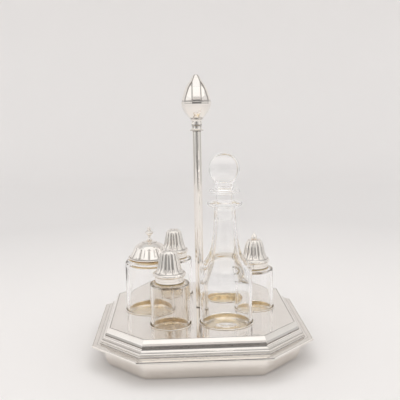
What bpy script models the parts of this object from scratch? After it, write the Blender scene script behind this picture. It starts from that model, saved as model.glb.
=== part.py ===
"""A silver-plated cruet stand with three shakers, a mustard jar and an oil bottle.

Metres, +Z up, the front of the stand towards -Y.  The origin is on the stand's
upright axis, at the height of the table.  Every outline is a list of points in
millimetres: (radius, height) for a turned piece, or (offset, height) for a
moulding, where the offset is measured outwards from the edge of the deck.
"""
import math

import bmesh
import bpy
from mathutils import Matrix

MM = 0.001
GAP = 0.3                      # clearance between two pieces that meet, in mm
MERGE = 0.00001

# Stand, in millimetres
BASE_HEIGHT = 40.0             # the deck's top above the table
DECK_HALF = 94.4               # half the deck's width, a square with cut corners
CORNER_CUT = 36.5              # length that each cut takes off the deck's sides
LIP_OFFSET = 17.5              # the lip stands this far outside the deck
LIP_TOP = 24.4
LIP_THICKNESS = 2.4
SKIRT_OFFSET = 4.9             # the skirt's widest place, outside the deck
SHEET = 1.3                    # thickness of the pressed metal
LAND = 0.8                     # width of the moulding's edge around the deck

# Ring of six wells: three small ones for shakers, three large ones between them
SMALL_WELL_RING = 60.0
LARGE_WELL_RING = 54.0
RING_TURN = -2.6               # degrees that the ring is turned from the stand's sides
SMALL_WELL = 21.9              # radius of the hole in the deck
LARGE_WELL = 28.4
WELL_DEPTH = 6.5
CUP_WALL = 0.6
CUP_RIM = 0.5                  # the rim laps over the hole's edge by this much
SMALL_ANGLES = {"side": 0, "rear": 120, "front": 240}
LARGE_ANGLES = {"spare": 60, "mustard": 180, "bottle": 300}

# Glass vessels
SHAKER_RADIUS = 20.1
SHAKER_SHOULDER = 83.2         # height of the shaker's flat shoulder
JAR_RADIUS = 26.9
JAR_MOUTH = 95.2
BOTTLE_RADIUS = 26.9
BOTTLE_MOUTH = 165.2
GLASS_FLOOR = 6.0              # thickness of a vessel's bottom

# Upright
ROD_RADIUS = 4.65
ROD_BORE = 3.2
TIE_ROD_RADIUS = 2.5
TIE_ROD_HOLE = 2.8
TIE_ROD_FOOT = 31.0
TIE_ROD_TOP = 251.5
CLAMP_WASHER = 1.2             # thickness of the washer under the deck
NUT_RADIUS = 5.2               # across the nut's corners, halved
NUT_HEIGHT = 3.6
COLLAR_HEIGHT = 233.7          # underside of the finial's collar
COLLAR_TOP = COLLAR_HEIGHT + 5.4
FINIAL_SEAM = 264.6            # where the bud sits in its cup
FINIAL_TIP = 292.1
PETALS = 10

# Every nested round piece has the same facets, which keeps the gaps even;
# a ripple has one ridge and one valley to each flute, lobe or petal.
FACETS = 24
CAP_FLUTES = FACETS // 2
LID_LOBES = FACETS // 2

SILVER = ("silver_plate", (0.90, 0.89, 0.87, 1.0), 0.10, 1.0, 0.0)
GILT = ("gilt_lining", (0.86, 0.72, 0.48, 1.0), 0.18, 1.0, 0.0)
GLASS = ("clear_glass", (0.96, 0.98, 0.98, 1.0), 0.02, 0.0, 1.0)
BRASS = ("turned_brass", (0.78, 0.62, 0.32, 1.0), 0.30, 1.0, 0.0)
CORK = ("cork", (0.66, 0.50, 0.34, 1.0), 0.85, 0.0, 0.0)


def clear_scene():
    for old in list(bpy.data.objects):
        bpy.data.objects.remove(old, do_unlink=True)
    for old in list(bpy.data.collections):
        bpy.data.collections.remove(old)


def new_collection(name):
    collection = bpy.data.collections.new(name)
    bpy.context.scene.collection.children.link(collection)
    return collection


clear_scene()
PARTS = new_collection("cruet_set")
CUTTERS = new_collection("cutters")


def finish_material(piece, finish):
    """Give a piece its own Principled material of the named finish."""
    name, color, roughness, metallic, transmission = finish
    material = bpy.data.materials.new(piece.name + "_" + name)
    material.use_nodes = True
    shader = material.node_tree.nodes["Principled BSDF"]
    shader.inputs["Base Color"].default_value = color
    shader.inputs["Roughness"].default_value = roughness
    shader.inputs["Metallic"].default_value = metallic
    shader.inputs["Transmission Weight"].default_value = transmission
    material.diffuse_color = color
    piece.data.materials.append(material)


def shade(piece, sharp_angle=40):
    piece.data.shade_smooth()
    piece.data.set_sharp_from_angle(angle=math.radians(sharp_angle))


def settle(piece):
    """Replace an object's modifiers by the mesh that they make."""
    depsgraph = bpy.context.evaluated_depsgraph_get()
    mesh = bpy.data.meshes.new_from_object(piece.evaluated_get(depsgraph))
    piece.modifiers.clear()
    piece.data = mesh


def object_from_bmesh(name, shape, collection=PARTS):
    mesh = bpy.data.meshes.new(name)
    shape.to_mesh(mesh)
    shape.free()
    piece = bpy.data.objects.new(name, mesh)
    collection.objects.link(piece)
    return piece


# ---------------------------------------------------------------- outlines

def arc(centre, radius, start, end, steps):
    """Points of a circular arc, angles in degrees from +radius towards +height."""
    points = []
    for step in range(steps + 1):
        angle = math.radians(start + (end - start) * step / steps)
        points.append((centre[0] + radius * math.cos(angle),
                       centre[1] + radius * math.sin(angle)))
    return points


# ---------------------------------------------------------------- basic shapes

def turned(name, outline, facets, finish, place=(0.0, 0.0)):
    """Turn an outline, which runs down its outer side, about an upright axis."""
    shape = bmesh.new()
    points = [shape.verts.new((across * MM, 0.0, up * MM)) for across, up in outline]
    for first, second in zip(points, points[1:]):
        shape.edges.new((first, second))
    hollow = outline[0][0] > 0.0
    if hollow:
        shape.edges.new((points[-1], points[0]))
    piece = object_from_bmesh(name, shape)
    piece.location = (place[0] * MM, place[1] * MM, 0.0)
    screw = piece.modifiers.new("turn", "SCREW")
    screw.axis = "Z"
    screw.angle = 2.0 * math.pi
    screw.steps = facets
    screw.render_steps = facets
    screw.use_merge_vertices = True
    screw.merge_threshold = MERGE
    settle(piece)
    shade(piece)
    finish_material(piece, finish)
    return piece


def cut_corner_square(offset):
    """Corners of the stand's outline, moved outwards by an offset, in order."""
    half = DECK_HALF + offset
    cut = CORNER_CUT + offset * (2.0 - math.sqrt(2.0))
    short = half - cut
    return [(half, -short), (half, short), (short, half), (-short, half),
            (-half, short), (-half, -short), (-short, -half), (short, -half)]


def mitred_ring(name, outline, finish):
    """Carry a closed outline around the stand, with mitred corners."""
    shape = bmesh.new()
    loops = []
    for offset, up in outline:
        corners = [shape.verts.new((x * MM, y * MM, up * MM))
                   for x, y in cut_corner_square(offset)]
        loops.append(corners)
    for upper, lower in zip(loops, loops[1:] + loops[:1]):
        for side in range(8):
            after = (side + 1) % 8
            shape.faces.new((upper[side], lower[side], lower[after], upper[after]))
    piece = object_from_bmesh(name, shape)
    shade(piece, 25)
    finish_material(piece, finish)
    return piece


def cut_corner_plate(name, offset, low, high, finish):
    """A flat plate of the stand's outline: a block with its four uprights cut off."""
    half = DECK_HALF + offset
    cut = CORNER_CUT + offset * (2.0 - math.sqrt(2.0))
    shape = bmesh.new()
    size = Matrix.Diagonal((2.0 * half * MM, 2.0 * half * MM, (high - low) * MM, 1.0))
    middle = Matrix.Translation((0.0, 0.0, 0.5 * (low + high) * MM))
    bmesh.ops.create_cube(shape, size=1.0, matrix=middle @ size)
    uprights = [edge for edge in shape.edges
                if abs(edge.verts[0].co.z - edge.verts[1].co.z) > 0.5 * (high - low) * MM]
    bmesh.ops.bevel(shape, geom=uprights, offset=cut * MM, segments=1, affect="EDGES")
    piece = object_from_bmesh(name, shape)
    finish_material(piece, finish)
    return piece


def cylinder_cutter(name, radius, low, high, facets, place=(0.0, 0.0)):
    shape = bmesh.new()
    middle = Matrix.Translation((place[0] * MM, place[1] * MM, 0.5 * (low + high) * MM))
    bmesh.ops.create_cone(shape, cap_ends=True, segments=facets, radius1=radius * MM,
                          radius2=radius * MM, depth=(high - low) * MM, matrix=middle)
    cutter = object_from_bmesh(name, shape, CUTTERS)
    cutter.hide_render = True
    cutter.display_type = "WIRE"
    return cutter


def cut_away(piece, cutters):
    for cutter in cutters:
        cut = piece.modifiers.new(cutter.name, "BOOLEAN")
        cut.operation = "DIFFERENCE"
        cut.solver = "EXACT"
        cut.object = cutter
    settle(piece)


def ripple(piece, count, depth, low, high):
    """Press flutes into a turned piece between two heights, fading at both ends."""
    for vertex in piece.data.vertices:
        radius = math.hypot(vertex.co.x, vertex.co.y)
        along = (vertex.co.z / MM - low) / (high - low)
        if 0.0 < along < 1.0 and radius > 0.5 * MM:
            angle = math.atan2(vertex.co.y, vertex.co.x)
            press = depth * MM * math.sin(math.pi * along) ** 0.5
            scale = 1.0 + press * math.cos(count * angle) / radius
            vertex.co.x *= scale
            vertex.co.y *= scale


def ring_place(radius, angle):
    turned_angle = math.radians(angle + RING_TURN)
    return (radius * math.cos(turned_angle), radius * math.sin(turned_angle))


WELLS = {}
for well, well_angle in SMALL_ANGLES.items():
    WELLS[well] = (ring_place(SMALL_WELL_RING, well_angle), SMALL_WELL)
for well, well_angle in LARGE_ANGLES.items():
    WELLS[well] = (ring_place(LARGE_WELL_RING, well_angle), LARGE_WELL)

CUP_FLOOR = BASE_HEIGHT - WELL_DEPTH
VESSEL_BASE = CUP_FLOOR + GAP


# ---------------------------------------------------------------- stand

def make_skirt():
    """The bulging lower wall that the stand rests on."""
    top = LIP_TOP - LIP_THICKNESS - GAP
    outside = [(SKIRT_OFFSET - 0.3, top), (SKIRT_OFFSET, 16.5), (SKIRT_OFFSET - 0.6, 10.5),
               (SKIRT_OFFSET - 1.9, 5.5), (SKIRT_OFFSET - 3.6, 2.0), (-0.6, 0.0)]
    inside = [(-2.2, 0.0), (-0.6, 2.2), (SKIRT_OFFSET - 3.2, 6.1),
              (SKIRT_OFFSET - 1.9, 10.8), (SKIRT_OFFSET - 1.3, 16.4),
              (SKIRT_OFFSET - 1.6, top)]
    return mitred_ring("base_skirt", outside + inside, SILVER)


def make_moulding():
    """The stepped upper border: deck edge, slope, hollow, round and projecting lip."""
    top = BASE_HEIGHT
    rebate = top - SHEET
    underside = LIP_TOP - LIP_THICKNESS
    slope = [(-LAND, top), (0.0, top), (1.6, 38.1), (3.1, 35.8), (4.1, 33.5)]
    hollow = [(4.2, 32.7)] + arc((7.4, 32.4), 2.9, 190, 262, 3)
    round_step = [(7.4, 29.1)] + arc((7.2, 27.6), 1.7, 55, 0, 2) + [(9.3, 27.2), (9.5, 25.2)]
    lip = [(16.0, 24.5), (16.9, LIP_TOP)]
    lip += arc((LIP_OFFSET - 0.8, underside + 0.9), 0.8, 60, -75, 3)
    under = [(16.6, underside), (SKIRT_OFFSET - 2.6, underside), (SKIRT_OFFSET - 2.6, 23.6),
             (7.4, 24.0), (7.4, 26.6), (3.2, 30.6), (2.4, 33.4), (-1.2, rebate - SHEET),
             (-5.0, rebate - SHEET), (-5.0, rebate), (-LAND, rebate)]
    return mitred_ring("base_moulding", slope + hollow + round_step + lip + under, SILVER)


def make_deck():
    """The flat plate with six holes for the wells and one for the upright's bolt."""
    plate = cut_corner_plate("deck_plate", -LAND - GAP, BASE_HEIGHT - SHEET + GAP,
                             BASE_HEIGHT, SILVER)
    low = BASE_HEIGHT - 5.0
    high = BASE_HEIGHT + 5.0
    cutters = [cylinder_cutter("bolt_hole", TIE_ROD_HOLE, low, high, 16)]
    for well_name, (place, radius) in WELLS.items():
        cutters.append(cylinder_cutter(well_name + "_hole", radius, low, high, FACETS, place))
    cut_away(plate, cutters)
    return plate


def make_well_cup(well_name):
    """A shallow gilt-lined cup that hangs in the deck by its narrow rim."""
    place, hole = WELLS[well_name]
    outer = hole - GAP
    inner = outer - CUP_WALL
    rim = BASE_HEIGHT + GAP
    outline = [(0.0, CUP_FLOOR), (inner, CUP_FLOOR), (inner, rim + 0.5),
               (hole + CUP_RIM, rim + 0.5), (hole + CUP_RIM, rim), (outer, rim),
               (outer, CUP_FLOOR - CUP_WALL), (0.0, CUP_FLOOR - CUP_WALL)]
    return turned("well_cup_" + well_name, outline, FACETS, GILT, place)


def make_bottom_plate():
    """The flat cover that closes the stand from below, clear of the table."""
    return cut_corner_plate("bottom_plate", -2.6, 1.0, 2.2, SILVER)


# ---------------------------------------------------------------- upright

def make_rod():
    high = COLLAR_HEIGHT - GAP
    low = BASE_HEIGHT + GAP
    outline = [(ROD_RADIUS, high), (ROD_RADIUS, low), (ROD_BORE, low), (ROD_BORE, high)]
    return turned("upright_tube", outline, FACETS, SILVER)


def make_tie_rod():
    """The threaded bar that clamps tube, deck and finial together."""
    low = TIE_ROD_FOOT
    high = TIE_ROD_TOP
    outline = [(0.0, high), (TIE_ROD_RADIUS - 0.5, high), (TIE_ROD_RADIUS, high - 0.5),
               (TIE_ROD_RADIUS, low + 0.5), (TIE_ROD_RADIUS - 0.5, low), (0.0, low)]
    return turned("tie_rod", outline, 12, BRASS)


def make_washer():
    high = BASE_HEIGHT - SHEET
    low = high - CLAMP_WASHER
    outline = [(8.0, high), (8.0, low), (TIE_ROD_HOLE, low), (TIE_ROD_HOLE, high)]
    return turned("tie_rod_washer", outline, 20, BRASS)


def make_nut():
    """A plain hexagon nut under the deck, bored for the tie rod."""
    high = BASE_HEIGHT - SHEET - CLAMP_WASHER - GAP
    low = high - NUT_HEIGHT
    shape = bmesh.new()
    middle = Matrix.Translation((0.0, 0.0, 0.5 * (low + high) * MM))
    bmesh.ops.create_cone(shape, cap_ends=True, segments=6, radius1=NUT_RADIUS * MM,
                          radius2=NUT_RADIUS * MM, depth=NUT_HEIGHT * MM, matrix=middle)
    nut = object_from_bmesh("tie_rod_nut", shape)
    finish_material(nut, BRASS)
    cut_away(nut, [cylinder_cutter("nut_hole", TIE_ROD_HOLE, low - 2.0, high + 2.0, 16)])


def make_finial_collar():
    """A thin flange with a short bright drum above it, on the tube's end."""
    low = COLLAR_HEIGHT
    outline = [(TIE_ROD_HOLE, COLLAR_TOP), (5.1, COLLAR_TOP), (5.3, low + 4.4), (5.3, low + 2.2),
               (5.9, low + 1.3), (7.4, low + 1.0), (7.6, low + 0.6), (7.3, low), (TIE_ROD_HOLE, low)]
    return turned("finial_collar", outline, 20, SILVER)


def make_finial_cup():
    """The faceted calyx below the bud, bored from below for the tie rod."""
    low = COLLAR_TOP + GAP
    high = FINIAL_SEAM - GAP
    bore_end = high - 12.0
    outline = [(0.0, high), (14.6, high), (15.5, high - 0.7), (15.6, high - 2.6),
               (14.9, high - 6.0), (13.0, high - 10.2), (9.8, high - 14.6), (7.4, high - 17.2),
               (7.0, high - 18.4), (5.7, high - 19.2), (5.4, high - 21.4), (5.7, low),
               (TIE_ROD_HOLE, low), (TIE_ROD_HOLE, bore_end), (0.0, bore_end)]
    return turned("finial_cup", outline, 2 * PETALS, SILVER)


def make_finial_bud():
    """The closed bud: ten petals pressed together, taller and shorter in turn."""
    low = FINIAL_SEAM
    high = FINIAL_TIP
    outline = [(0.0, high), (1.9, high - 0.3), (3.5, high - 1.8), (4.7, high - 3.8),
               (6.4, high - 6.4), (8.8, high - 9.6), (11.3, high - 14.0), (13.6, high - 20.8),
               (14.9, high - 25.2), (15.1, low), (0.0, low)]
    bud = turned("finial_bud", outline, 2 * PETALS, SILVER)
    ripple(bud, PETALS, 0.35, low + 1.0, high - 0.5)
    return bud


# ---------------------------------------------------------------- shakers

FERRULE_FOOT = SHAKER_SHOULDER + GAP       # the ferrule sits on the glass's shoulder
SKIRT_FOOT = FERRULE_FOOT + 0.9            # the cap's skirt ends just above its flange
NECK_TOP = 92.6
WASHER_FOOT = NECK_TOP + GAP
WASHER_THICKNESS = 0.8
CAP_LEDGE = WASHER_FOOT + WASHER_THICKNESS + GAP
CAP_RIM = 92.0
CAP_BORE = 13.9                            # inside radius of the cap's skirt
FLUTE_DEPTH = 0.45
POURING_HOLE = 0.7                         # radius


def make_shaker_glass(shaker, place):
    """A thick-bottomed straight glass with a flat shoulder and a short neck."""
    base = VESSEL_BASE
    shoulder = SHAKER_SHOULDER
    outline = [(11.7, NECK_TOP), (11.7, shoulder + 0.4), (12.1, shoulder), (18.4, shoulder),
               (19.6, shoulder - 0.5), (SHAKER_RADIUS, shoulder - 1.8), (SHAKER_RADIUS, base + 1.2),
               (SHAKER_RADIUS - 1.2, base), (0.0, base)]
    inside = [(0.0, base + GLASS_FLOOR), (15.6, base + GLASS_FLOOR), (17.4, base + GLASS_FLOOR + 2.0),
              (17.8, shoulder - 4.6), (16.4, shoulder - 3.0), (10.4, shoulder - 2.0), (9.4, NECK_TOP)]
    return turned(shaker + "_shaker_glass", inside + outline, FACETS, GLASS, place)


def make_shaker_ferrule(shaker, place):
    """The threaded brass ring that is cemented around the glass's neck."""
    foot = FERRULE_FOOT
    high = NECK_TOP - 0.2
    outline = [(12.6, high), (12.6, foot + 0.6), (15.0, foot + 0.6), (15.0, foot),
               (12.4, foot), (12.0, foot + 0.4), (12.0, high)]
    return turned(shaker + "_shaker_ferrule", outline, FACETS, BRASS, place)


def make_shaker_washer(shaker, place):
    """A thin cork ring that the cap presses on the glass's mouth."""
    foot = WASHER_FOOT
    high = foot + WASHER_THICKNESS
    outline = [(13.1, high), (13.1, foot), (10.6, foot), (10.6, high)]
    return turned(shaker + "_shaker_washer", outline, FACETS, CORK, place)


def make_shaker_cap(shaker, place, crown):
    """A fluted dome whose ledge presses the washer down, with holes in its crown.

    The crown is the outline's top, from the axis out to the start of the flutes;
    its lining runs a sheet's thickness inside it.
    """
    flutes = [(10.4, 107.0), (11.7, 101.0), (12.9, 96.2), (14.8, 94.6), (15.3, CAP_LEDGE)]
    lining = [(11.4, CAP_LEDGE), (11.4, 97.4), (9.3, 107.0)]
    lining += [(max(across - 1.0, 0.0), up - 1.0) for across, up in reversed(crown)]
    cap = turned(shaker + "_shaker_cap", crown + flutes + lining, FACETS, SILVER, place)
    ripple(cap, CAP_FLUTES, FLUTE_DEPTH, 95.2, crown[-1][1] + 1.5)
    return cap


def make_cap_ring(shaker, place):
    """The cap's spreading rim and screwed skirt, soldered under the dome."""
    high = CAP_LEDGE - GAP
    outline = [(15.5, high), (16.3, high - 0.4), (16.7, CAP_RIM), (16.0, 90.9), (14.8, 90.6),
               (14.8, SKIRT_FOOT), (CAP_BORE, SKIRT_FOOT), (CAP_BORE, high)]
    return turned(shaker + "_shaker_cap_ring", outline, FACETS, SILVER, place)


def pierce_crown(cap, place, holes, ring_radius):
    """Drill the pouring holes straight down through the crown."""
    cutters = []
    for hole in range(holes):
        angle = 2.0 * math.pi * hole / holes
        across = place[0] + ring_radius * math.cos(angle)
        along = place[1] + ring_radius * math.sin(angle)
        name = cap.name + "_hole_" + str(hole)
        cutters.append(cylinder_cutter(name, POURING_HOLE, 105.0, 125.0, 8, (across, along)))
    cut_away(cap, cutters)
    shade(cap)


ROUND_CROWN = [(0.0, 117.4), (5.6, 116.8), (8.2, 114.8), (9.1, 112.4)]
KNOB_CROWN = [(0.0, 115.3), (6.4, 114.7), (8.2, 113.3), (9.1, 111.2)]


def make_shaker_knob(place):
    """The pointed knob on the side shaker's cap."""
    foot = KNOB_CROWN[0][1] + GAP
    outline = [(0.0, 122.2), (0.8, 121.9), (1.9, 120.4), (3.0, 118.2), (3.4, 116.9),
               (3.0, 116.2), (3.3, foot), (0.0, foot)]
    return turned("side_shaker_knob", outline, 16, SILVER, place)


# ---------------------------------------------------------------- mustard jar

def make_jar(place):
    """A wide straight jar with a rounded shoulder and a ground mouth."""
    base = VESSEL_BASE
    mouth = JAR_MOUTH
    outline = [(22.9, mouth), (23.3, mouth - 0.6), (25.4, mouth - 1.1), (26.5, mouth - 2.2),
               (JAR_RADIUS, mouth - 4.0), (JAR_RADIUS, base + 1.2), (JAR_RADIUS - 1.2, base),
               (0.0, base)]
    inside = [(0.0, base + GLASS_FLOOR), (21.6, base + GLASS_FLOOR), (23.9, base + GLASS_FLOOR + 2.4),
              (24.3, mouth - 8.0), (23.4, mouth - 5.6), (21.0, mouth - 4.2), (20.8, mouth)]
    return turned("mustard_jar", inside + outline, FACETS, GLASS, place)


def make_jar_collar(place):
    """The gilt ring on the jar's mouth, under the lid."""
    foot = JAR_MOUTH + GAP
    outline = [(22.8, foot + 1.0), (23.2, foot + 0.5), (22.8, foot), (20.8, foot),
               (20.8, foot + 1.0)]
    return turned("mustard_jar_collar", outline, FACETS, GILT, place)


LID_RIM = JAR_MOUTH + GAP + 1.0 + GAP
LID_APEX = 115.8


def make_jar_lid(place):
    """A domed lid with a lobed border, whose plain flange drops into the mouth."""
    rim = LID_RIM
    outline = [(0.0, LID_APEX), (3.4, LID_APEX - 0.2), (8.0, 114.3), (12.2, 112.2), (15.4, 109.6),
               (17.3, 106.6), (19.0, 103.6), (20.6, 100.8), (21.9, 98.9), (22.2, 98.4),
               (23.2, rim + 1.2), (23.5, rim + 0.6), (23.2, rim), (20.4, rim), (20.4, rim - 4.4),
               (19.3, rim - 4.4), (19.3, rim + 1.6), (17.6, 103.4), (15.9, 106.4), (14.1, 108.9),
               (11.2, 111.2), (7.4, 113.1), (0.0, 114.6)]
    lid = turned("mustard_lid", outline, FACETS, SILVER, place)
    ripple(lid, LID_LOBES, 0.35, 98.2, 107.6)
    return lid


def make_lid_knob(place):
    """The lid's baluster knob: foot, waist, disc and bead."""
    foot = LID_APEX + GAP
    outline = [(0.0, 130.6), (1.5, 130.1), (2.1, 128.6), (1.6, 127.2), (2.4, 126.6), (4.2, 125.4),
               (4.4, 124.4), (3.6, 123.2), (1.9, 121.0), (1.5, 119.4), (1.9, 118.0),
               (3.2, 116.9), (3.3, foot), (0.0, foot)]
    return turned("mustard_lid_knob", outline, 16, SILVER, place)


# ---------------------------------------------------------------- oil bottle

def make_bottle(place):
    """A straight body under a thick drawn-in shoulder, a long neck and a round lip."""
    base = VESSEL_BASE
    mouth = BOTTLE_MOUTH
    inside = [(0.0, base + GLASS_FLOOR), (22.0, base + GLASS_FLOOR), (24.2, base + GLASS_FLOOR + 2.4),
              (24.3, 72.0), (23.4, 82.0), (21.0, 90.0), (17.8, 97.5), (14.6, 105.5), (12.2, 114.0),
              (10.2, 127.0), (9.0, 139.0), (8.6, 146.0), (9.3, mouth)]
    outside = [(13.6, mouth - 0.2), (16.7, mouth - 0.9), (17.6, mouth - 2.7), (16.7, mouth - 4.5),
               (13.6, mouth - 5.3), (10.9, mouth - 6.1), (10.3, 156.0), (11.0, 147.0), (11.6, 139.0),
               (12.9, 127.0), (15.2, 115.2), (18.0, 108.9), (21.6, 103.3), (25.2, 97.8),
               (26.6, 94.0), (BOTTLE_RADIUS, 90.6), (BOTTLE_RADIUS, base + 1.2),
               (BOTTLE_RADIUS - 1.2, base), (0.0, base)]
    return turned("oil_bottle", inside + outside, FACETS, GLASS, place)


def make_stopper(place):
    """A ground glass peg with a lens-shaped disc and a ball on top."""
    ball_middle = BOTTLE_MOUTH + 32.1
    ball = [(across, ball_middle + (up - ball_middle) * 1.03)
            for across, up in arc((0.0, ball_middle), 15.4, 90, -56, 8)]
    ball[0] = (0.0, ball[0][1])
    disc_middle = BOTTLE_MOUTH + 10.1
    disc = [(8.6, disc_middle + 3.1), (12.4, disc_middle + 2.4), (14.8, disc_middle + 1.1),
            (15.3, disc_middle), (14.8, disc_middle - 1.1), (12.4, disc_middle - 2.4),
            (8.9, disc_middle - 3.1)]
    peg = [(8.7, BOTTLE_MOUTH), (8.1, 147.2), (7.6, 146.6), (0.0, 146.6)]
    return turned("oil_stopper", ball + disc + peg, FACETS, GLASS, place)


# ---------------------------------------------------------------- assembly

def make_stand():
    make_skirt()
    make_moulding()
    make_deck()
    make_bottom_plate()
    for well_name in WELLS:
        make_well_cup(well_name)
    make_rod()
    make_tie_rod()
    make_washer()
    make_nut()
    make_finial_collar()
    make_finial_cup()
    make_finial_bud()


def make_shaker(shaker, crown, holes, hole_ring):
    place = WELLS[shaker][0]
    make_shaker_glass(shaker, place)
    make_shaker_ferrule(shaker, place)
    make_shaker_washer(shaker, place)
    make_cap_ring(shaker, place)
    cap = make_shaker_cap(shaker, place, crown)
    pierce_crown(cap, place, holes, hole_ring)


def make_vessels():
    make_shaker("front", ROUND_CROWN, 5, 3.6)
    make_shaker("rear", ROUND_CROWN, 5, 3.6)
    make_shaker("side", KNOB_CROWN, 6, 5.6)
    make_shaker_knob(WELLS["side"][0])
    jar_place = WELLS["mustard"][0]
    make_jar(jar_place)
    make_jar_collar(jar_place)
    make_jar_lid(jar_place)
    make_lid_knob(jar_place)
    bottle_place = WELLS["bottle"][0]
    make_bottle(bottle_place)
    make_stopper(bottle_place)


make_stand()
make_vessels()
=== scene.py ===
# Looks of a silver-plated cruet set: stand, three shakers, mustard jar and oil bottle.
#
# Blender's units are metres, +Z is up and the stand's front faces -Y.  Outlines are
# written in millimetres: (radius, height above the table) for a turned piece, and
# (offset from the deck's edge, height) for the stand's border.

import math

import bmesh
import bpy
from mathutils import Matrix, Quaternion, Vector


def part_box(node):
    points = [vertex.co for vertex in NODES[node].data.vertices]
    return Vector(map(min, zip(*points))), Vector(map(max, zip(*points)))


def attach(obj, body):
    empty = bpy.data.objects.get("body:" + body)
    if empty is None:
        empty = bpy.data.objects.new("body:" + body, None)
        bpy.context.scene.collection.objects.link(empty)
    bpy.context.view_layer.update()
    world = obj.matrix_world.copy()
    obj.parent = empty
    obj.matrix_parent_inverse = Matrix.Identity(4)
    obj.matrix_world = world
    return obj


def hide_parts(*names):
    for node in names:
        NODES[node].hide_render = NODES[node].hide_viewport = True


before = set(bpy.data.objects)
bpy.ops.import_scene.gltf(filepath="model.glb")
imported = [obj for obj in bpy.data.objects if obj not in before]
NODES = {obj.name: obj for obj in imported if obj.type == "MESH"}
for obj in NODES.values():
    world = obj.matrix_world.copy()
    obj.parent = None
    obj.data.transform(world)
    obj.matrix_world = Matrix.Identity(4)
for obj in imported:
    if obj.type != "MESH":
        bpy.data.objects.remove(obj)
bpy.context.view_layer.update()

MM = 0.001
TINY = 1e-6                    # a radius or length under this counts as none
MERGE = 1e-7                   # points closer than this, in metres, become one
CREASE = 38                    # degrees: an edge that folds more is drawn sharp
ROUND = 120                    # facets around a turned piece
FLUTED_ROUND = 216             # the same for a piece with lobes, 18 to a lobe
KNOB_ROUND = 64                # the same for a small knob
LOBES = 12                     # around a shaker's cap and around the mustard lid
FRONT = -0.5 * math.pi         # the stand's front, as an angle seen from above
CENTRE = Vector((0.0, 0.0, 0.12))   # where the lamps and cards face, in metres


# ---------------------------------------------------------------- places from the frame

def middle(node):
    """A node's middle seen from above, in millimetres."""
    low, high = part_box(node)
    return (0.5 * (low.x + high.x) / MM, 0.5 * (low.y + high.y) / MM)


def foot(node):
    """Height of a node's lowest point, in millimetres."""
    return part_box(node)[0].z / MM


def top(node):
    """Height of a node's highest point, in millimetres."""
    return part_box(node)[1].z / MM


def half_width(node):
    low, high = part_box(node)
    return 0.5 * (high.x - low.x) / MM


LIP_REACH = 17.5               # from the deck's edge out to the moulding's lip
CORNER_CUT = 36.5              # what a cut corner takes off each end of the deck's sides
DECK_TUCK = 1.1                # from the deck's edge in to the edge of its plate
DECK_TOP = top("deck_plate")
DECK_HALF = half_width("base_moulding") - LIP_REACH
SIDES = 8
ROD_HOLE = 2.8                 # radius of the hole for the tie rod
POUR_HOLE = 0.7                # radius of a shaker's pouring hole
DECK_CUT = (35, 45)            # heights that span the deck, to cut through it
CROWN_CUT = (105, 125)         # heights that span the caps' crowns


# ---------------------------------------------------------------- materials

def add_node(tree, kind, **settings):
    made = tree.nodes.new(kind)
    for key, value in settings.items():
        setattr(made, key, value)
    return made


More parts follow.
